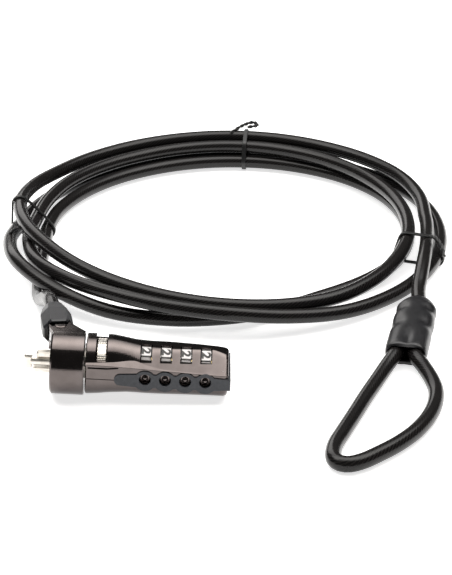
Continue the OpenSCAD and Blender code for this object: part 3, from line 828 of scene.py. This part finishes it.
# Rows of the T: distance from its tip, radius of its ends, how much shorter.
tip_x = -COLLAR_HALF - NOSE_L
head_rows = []
for dx, r, inset in ((0, 0.7, 0.5), (0.12, 0.9, 0.28), (0.35, 1.02, 0.14), (0.8, 1.14, 0.04),
                     (1.5, 1.2, 0), (2.1, 1.2, 0), (2.3, 1.1, 0.1)):
    x, h = tip_x + dx, T_LEN / 2 - inset
    row = []
    for k in range(32):
        a = math.tau * k / 32
        end = 1 if math.sin(a) >= 0 else -1
        row.append((x, r * math.cos(a), (h - r) * end + r * math.sin(a)))
    head_rows.append(row)
t_head = loft("t_head", head_rows, LOCK)
shaft = rod("shaft", SHAFT_R, tip_x + 2, 0.3, LOCK)
combine(t_head, [shaft, rod("spindle", SPINDLE_R, 0.29, CLIP_X + 1.1, LOCK)], "UNION")
round_edges(t_head, 0.1, 40)
dress(t_head, ZINC, "spindle", ["t_bar"])

nose = rod("nose", JOURNAL_R, -COLLAR_HALF + LIP_W - 0.01, NOSE_END, LOCK)
lip = rod("lip", LIP_R, -COLLAR_HALF, -COLLAR_HALF + LIP_W, LOCK)
# A prong under the shaft and a shorter one over it, chamfered at the tip.
prongs = []
for z, reach in ((-1, 5.5), (1, 4.5)):
    rows = []
    for dx, y, low, high in ((-reach, 0.8, 2.1, 2.9), (-reach + 0.25, 1, 2.03, 3.15),
                             (-reach + 0.6, 1.2, 2, 3.4), (0.01, 1.2, 2, 3.4)):
        x = -COLLAR_HALF + dx
        rows.append([(x, -y, z * low), (x, y, z * low), (x, y, z * (high - 0.25)),
                     (x, y - 0.3, z * high), (x, 0.3 - y, z * high), (x, -y, z * (high - 0.25))])
    prongs.append(loft("prong", rows, LOCK))
combine(nose, [lip] + prongs, "UNION")
combine(nose, [rod("c", SHAFT_R + FIT, -20, 0, LOCK), rod("c", SPINDLE_R + FIT, 0, 10, LOCK)])
round_edges(nose, 0.1, 35)
dress(nose, ZINC, "case", ["nose_tube"])

# ---------- Dials ----------

FACES = 10
# Width of a flat, and its distance from the axis.
FLAT_W = 2 * DIAL_R * math.sin(math.pi / FACES)
FLAT_AT = DIAL_R * math.cos(math.pi / FACES)
# A figure's height and width, how bold it is, and its width in the font.
DIGIT_H = 2.75
DIGIT_W = 2.4
BOLD = 0.04
FONT_W = 0.49


def digit(name, figure, matrix):
    """A plain figure as a flat mesh, DIGIT_H tall, centred on matrix."""
    curve = bpy.data.curves.new(name, "FONT")
    curve.body = str(figure)
    curve.offset = BOLD
    text = bpy.data.objects.new(name, curve)
    bpy.context.scene.collection.objects.link(text)
    mesh = bpy.data.meshes.new_from_object(
        text.evaluated_get(bpy.context.evaluated_depsgraph_get()))
    bpy.data.objects.remove(text)
    xs = [v.co.x for v in mesh.vertices]
    ys = [v.co.y for v in mesh.vertices]
    tall = DIGIT_H / (max(ys) - min(ys))
    wide = DIGIT_W / FONT_W
    for v in mesh.vertices:
        flat = Vector(((v.co.x - (min(xs) + max(xs)) / 2) * wide,
                       (v.co.y - (min(ys) + max(ys)) / 2) * tall, 0))
        v.co = matrix @ flat * MM
    obj = bpy.data.objects.new(name, mesh)
    bpy.context.scene.collection.objects.link(obj)
    return obj


for i, x in enumerate(DIAL_XS):
    body = f"dial_{i + 1}"
    at = LOCK @ Matrix.Translation((x, 0, 0))
    outline = circle(DIAL_R, FACES, math.radians(180 - READ_ANGLES[i] - 18))
    rows = [[(dx, f * y, f * z) for y, z in outline]
            for dx, f in ((-DIAL_W / 2, 0.97), (-DIAL_W / 2 + 0.2, 1), (DIAL_W / 2 - 0.2, 1),
                          (DIAL_W / 2, 0.97))]
    drum = loft(body + "_drum", rows, at)
    combine(drum, [rod("c", SLEEVE_R + FIT, -DIAL_W, DIAL_W, at)])
    round_edges(drum, 0.1, 20)
    dress(drum, DIAL_DARK, body, [body])
    for k in range(FACES):
        tilt = math.radians(READ_ANGLES[i] + 36 * k)
        out = Vector((0, -math.cos(tilt), math.sin(tilt)))
        right = Vector((1, 0, 0)).cross(out)
        # The figures lie on their side, with their tops towards +x.
        face = at @ Matrix((right, Vector((1, 0, 0)), out)).transposed().to_4x4()
        w, h, r = FLAT_W / 2 - 0.3, DIAL_W / 2 - 0.12, 0.25
        corners = [(sx * (w - r), sy * (h - r)) for sx, sy in ((1, 1), (-1, 1), (-1, -1), (1, -1))]
        edge = []
        for q, (cx, cy) in enumerate(corners):
            for j in range(5):
                a = math.radians(90 * q + 22.5 * j)
                edge.append((cx + r * math.cos(a), cy + r * math.sin(a)))
        panel = loft(f"{body}_flat_{k}", [[(px * f, py * f, FLAT_AT + z) for px, py in edge]
                                          for z, f in ((-0.1, 1), (0.03, 1), (0.06, 0.985))], face)
        dress(smooth(panel, 40), DIAL_WHITE, body)
        figure = digit(f"{body}_digit_{k}", (2 + k) % 10,
                       face @ Matrix.Translation((0, 0, FLAT_AT + 0.1)))
        dress(figure, INK, body)

# ---------- Boot ----------

# Rows of the boot: distance from the pin, half widths of its sides and its
# flats, and half heights of its flats and its sides.
BOOT_ROWS = [
    (1.1, 4.3, 2.1, 4, 1.45), (1.35, 4.42, 2.2, 4.12, 1.5), (2.1, 4.7, 2.4, 4.3, 1.6),
    (6, 4.72, 2.42, 4.32, 1.6), (10.1, 4.7, 2.4, 4.3, 1.6), (11.2, 4.5, 2.3, 4.15, 1.58),
    (13, 4.1, 2.1, 3.8, 1.55), (14.5, 3.75, 1.95, 3.45, 1.5), (16.2, 3.1, 1.5, 2.9, 1.3),
    (16.8, 2.85, 1.35, 2.7, 1.2), (17, 2.6, 1.2, 2.5, 1.1)]


def boot_section(y, side, flat, top, shoulder):
    """An eight-sided row of the boot."""
    return [(BOOT_X + a, y, EYE_Z + b) for a, b in (
        (side, shoulder), (flat, top), (-flat, top), (-side, shoulder),
        (-side, -shoulder), (-flat, -top), (flat, -top), (side, -shoulder))]


boot = loft("boot", [boot_section(*row) for row in BOOT_ROWS], BOOT)
mouth = post("c", EAR_R + MOUTH_GAP, (0, 0), EAR_Z0 - 0.3, EAR_Z1 + 0.3, BOOT)
combine(boot, [
    mouth, block("c", (2, -1, EAR_Z0 - 0.3), (8, 3.2, EAR_Z1 + 0.3), BOOT),
    block("c", (-1.8, 0, EYE_Z0), (1.8, 6, EYE_Z1), BOOT),
    loft("c", [[(a, y, EYE_Z + b) for a, b in circle(2.4, 48)] for y in (5.4, 8.6)], BOOT)])
round_edges(boot, 0.35, 20, 3)
dress(boot, BOOT_MAT, "cable", ["cable_boot"])

# ---------- Crimp sleeve ----------

AT_SLEEVE = Matrix.Translation(SLEEVE_TOP) @ Matrix(
    (SLEEVE_DIR, SLEEVE_SIDE, SLEEVE_DIR.cross(SLEEVE_SIDE))).transposed().to_4x4()
SLEEVE_ROWS = [
    # x, half width, half height, squareness
    (0, 2.8, 2.8, 2), (0.3, 3.4, 3.2, 2), (1, 4.3, 3.5, 2.05), (2, 5.1, 3.75, 2.1),
    (4, 6, 4.05, 2.2), (6, 6.5, 4.2, 2.4), (14, 6.6, 4.2, 2.6), (SLEEVE_L - 3, 6.6, 4.2, 2.6),
    (SLEEVE_L - 1, 6.5, 4.15, 2.6), (SLEEVE_L - 0.3, 6.35, 4, 2.6), (SLEEVE_L, 6.2, 3.85, 2.6)]


def sleeve_section(x, n=96):
    """A superellipse round the sleeve at x."""
    w, h, p = (lookup(x, [(r[0], r[k]) for r in SLEEVE_ROWS]) for k in (1, 2, 3))
    out = []
    for k in range(n):
        a = math.tau * (k + 0.5) / n
        c, s = math.cos(a), math.sin(a)
        r = (abs(c) ** p + abs(s) ** p) ** (-1 / p)
        out.append(Vector((x, w * r * c, h * r * s)))
    return out


def dent(p, at, size, depth):
    """Presses a soft dent into the moulding, towards its axis."""
    d = Vector(((p.x - at[0]) / size[0], (p.y - at[1]) / size[1], (p.z - at[2]) / size[2]))
    pull = depth * math.exp(-d.length_squared)
    return p - pull * Vector((0, p.y, p.z)).normalized()


DENTS = [((9, 5, 3), (2.2, 2.4, 4), 0.8), ((9.5, -5, 3), (2.2, 2.4, 4), 0.6),
         ((19, 5, 3), (2.6, 2.4, 4), 0.7), ((19.5, -5, 3), (2.6, 2.4, 4), 0.7),
         ((SLEEVE_L - 4, 0, 4.2), (5, 1.8, 3), 0.7), ((SLEEVE_L - 4, 0, -4.2), (5, 1.8, 3), 0.5)]
rows = []
for k in range(79):
    row = sleeve_section(SLEEVE_L * k / 78)
    for spot in DENTS:
        row = [dent(p, *spot) for p in row]
    rows.append(row)
sleeve = loft("sleeve", rows, AT_SLEEVE)
opening = [[(x, a, b) for a, b in hull_plan([(-MOUTH_Y, 0, CABLE_R + GAP),
                                              (MOUTH_Y, 0, CABLE_R + GAP)], 48)]
           for x in (MOUTH_X, SLEEVE_L + 1)]
combine(sleeve, [rod("c", CABLE_R + FIT, -1, FERRULE[0] + 1, AT_SLEEVE),
                 loft("c", opening, AT_SLEEVE)]
        + [rod("c", CABLE_R + FIT, FERRULE[1] - 1, MOUTH_X + 1, AT_SLEEVE, y=y)
           for y in (-LEG_Y, LEG_Y)])
round_edges(sleeve, 0.3, 50, 3)
dress(sleeve, SLEEVE_MAT, "cable", ["crimp_sleeve"])

# ---------- Ties ----------


def cable_pass(s):
    """Where the cable passes a tie: distance from the coil's centre, height."""
    p = lane(s)
    return (math.hypot(p.x - COIL_AT[0], p.y - COIL_AT[1]), p.z)


def tie(name, angle, passes, node):
    """A flat wire drawn tight round the passes."""
    a = math.radians(angle)
    out, along = Vector((-math.cos(a), math.sin(a), 0)), Vector((math.sin(a), math.cos(a), 0))
    up = along.cross(out) * (1 if along.cross(out).z > 0 else -1)
    place = Matrix.Translation((*COIL_AT, 0)) @ Matrix((out, along, up)).transposed().to_4x4()
    inner = hull_plan([(u, v, CABLE_R + FIT) for u, v in passes], 48)
    outer = hull_plan([(u, v, CABLE_R + FIT + TIE_T) for u, v in passes], 48)
    band = loft(name, [[(u, y, v) for u, v in outer] for y in (-TIE_W / 2, TIE_W / 2)], place)
    hole = loft("c", [[(u, y, v) for u, v in inner] for y in (-2, 2)], place)
    combine(band, [hole])
    round_edges(band, 0.22, 35, 3)
    return dress(band, TIE_MAT, "cable", [node])


# Each tie's angle round the coil, and the coil's points that it holds.
tie("left_tie", 0, [cable_pass(s) for s in (0, 12, 24, 36)], "tie_left")
tie("back_tie", 96, [cable_pass(s) for s in (3.2, 15.2, 27.2, 39.2)], "tie_back")
tie("right_tie", 198, [cable_pass(s) for s in (6.6, 18.6, 30.6)] + [(73.2, 8.2)], "tie_right")


def twist(name, points, turns, r=0.4):
    """A tie's ends, twisted together along points."""
    path = resample(points, 0.8)
    strands = []
    for side in (0, math.pi):
        wire = []
        for i, p in enumerate(path):
            t = (path[min(i + 1, len(path) - 1)] - path[max(i - 1, 0)]).normalized()
            u = t.cross(Vector((0.1, 0.2, 1))).normalized()
            a = side + math.tau * turns * i / (len(path) - 1)
            wire.append(p + 0.9 * r * (math.cos(a) * u + math.sin(a) * t.cross(u)))
        strands.append(tube(name, wire, r, 10))
    return dress(join(strands, name), TIE_MAT, "cable")


twist("back_twist", [(38, 184.5, 12.6), (42, 185, 13.2), (40, 186.5, 13.8), (36, 183.5, 13.6),
                     (31.5, 179.5, 12.2)], 4)
twist("left_twist", [(-38.5, 91, 12.6), (-41, 90.5, 12.8), (-43.2, 91, 11.5), (-45.4, 92.5, 8.6)],
      2.5)
twist("right_twist", [(99, 84, 12.5), (101, 81, 12.8), (102.4, 77.5, 11.5), (103, 74, 9.5)], 2.5)

# ---------- Materials of the CAD nodes that stay ----------

for name, mat in (("case_pins", STEEL), ("spindle_clip", STEEL), ("detent_spring", STEEL),
                  ("cable_eye", STEEL), ("crimp_ferrule", STEEL), ("clutch_sleeve_1", BRASS),
                  ("clutch_sleeve_2", BRASS), ("clutch_sleeve_3", BRASS),
                  ("clutch_sleeve_4", BRASS)):
    for slot in bpy.data.objects[name].material_slots:
        slot.material = mat

# ---------- Stage ----------

# Brightness of the sheet overhead, of the one behind, what the floor is
# lifted by where the camera or a reflection sees it, and the dim room.
SOFTBOX = 4.8
SWEEP = 2.2
FLOOR_LIFT = 0.7
ROOM = 0.06


def floor_material():
    """Pale floor that the camera and reflections see lighter, so that it turns white."""
    mat, tree, bsdf = shader("floor", (0.9, 0.9, 0.9), 0.9)
    path = tree.nodes.new("ShaderNodeLightPath")
    bsdf.inputs["Emission Color"].default_value = (1, 1, 1, 1)
    lift = tree.nodes.new("ShaderNodeMath")
    lift.operation = "MULTIPLY"
    lift.inputs[1].default_value = FLOOR_LIFT
    both = tree.nodes.new("ShaderNodeMath")
    both.operation = "MAXIMUM"
    tree.links.new(path.outputs["Is Camera Ray"], both.inputs[0])
    tree.links.new(path.outputs["Is Glossy Ray"], both.inputs[1])
    tree.links.new(both.outputs["Value"], lift.inputs[0])
    tree.links.new(lift.outputs["Value"], bsdf.inputs["Emission Strength"])
    return mat


def softbox_material():
    """Light that is brightest along its middle and fades towards its long edges."""
    mat = bpy.data.materials.new("softbox")
    mat.use_nodes = True
    tree = mat.node_tree
    tree.nodes.clear()
    coord = tree.nodes.new("ShaderNodeTexCoord")
    split = tree.nodes.new("ShaderNodeSeparateXYZ")
    tree.links.new(coord.outputs["Generated"], split.inputs["Vector"])
    ramp = tree.nodes.new("ShaderNodeValToRGB")
    ramp.color_ramp.interpolation = "EASE"
    first, last = ramp.color_ramp.elements
    first.position, last.position = 0, 1
    first.color, last.color = (0.4, 0.39, 0.38, 1), (0.3, 0.3, 0.3, 1)
    middle = ramp.color_ramp.elements.new(0.38)
    middle.color = (1, 0.98, 0.95, 1)
    tree.links.new(split.outputs["Y"], ramp.inputs["Fac"])
    light = tree.nodes.new("ShaderNodeEmission")
    light.inputs["Strength"].default_value = SOFTBOX
    tree.links.new(ramp.outputs["Color"], light.inputs["Color"])
    out = tree.nodes.new("ShaderNodeOutputMaterial")
    tree.links.new(light.outputs["Emission"], out.inputs["Surface"])
    return mat


def glow(name, strength):
    """A plain bright surface."""
    mat, tree, bsdf = shader(name, (0, 0, 0), 1)
    bsdf.inputs["Emission Color"].default_value = (1, 0.98, 0.96, 1)
    bsdf.inputs["Emission Strength"].default_value = strength
    return mat


def sheet(name, points, material):
    """A flat piece of the stage."""
    obj = new_object(name, points, [(0, 1, 2, 3)])
    obj.data.materials.append(material)
    return obj


sheet("floor", [(-3000, -3000, -0.1), (3000, -3000, -0.1), (3000, 3000, -0.1), (-3000, 3000, -0.1)],
      floor_material())
softbox = sheet("softbox", [(-700, -250, 800), (-700, 780, 800), (760, 780, 800), (760, -250, 800)],
                softbox_material())
sweep = sheet("sweep", [(-1200, 1500, 350), (-85, 1500, 350), (-85, 1500, 1500),
                        (-1200, 1500, 1500)], glow("sweep", SWEEP))
softbox.visible_camera = sweep.visible_camera = False

world = bpy.data.worlds.new("world")
bpy.context.scene.world = world
world.use_nodes = True
room = world.node_tree.nodes["Background"]
room.inputs["Color"].default_value = (ROOM, ROOM, ROOM, 1)
room.inputs["Strength"].default_value = 1

bpy.context.scene.view_settings.view_transform = "Standard"
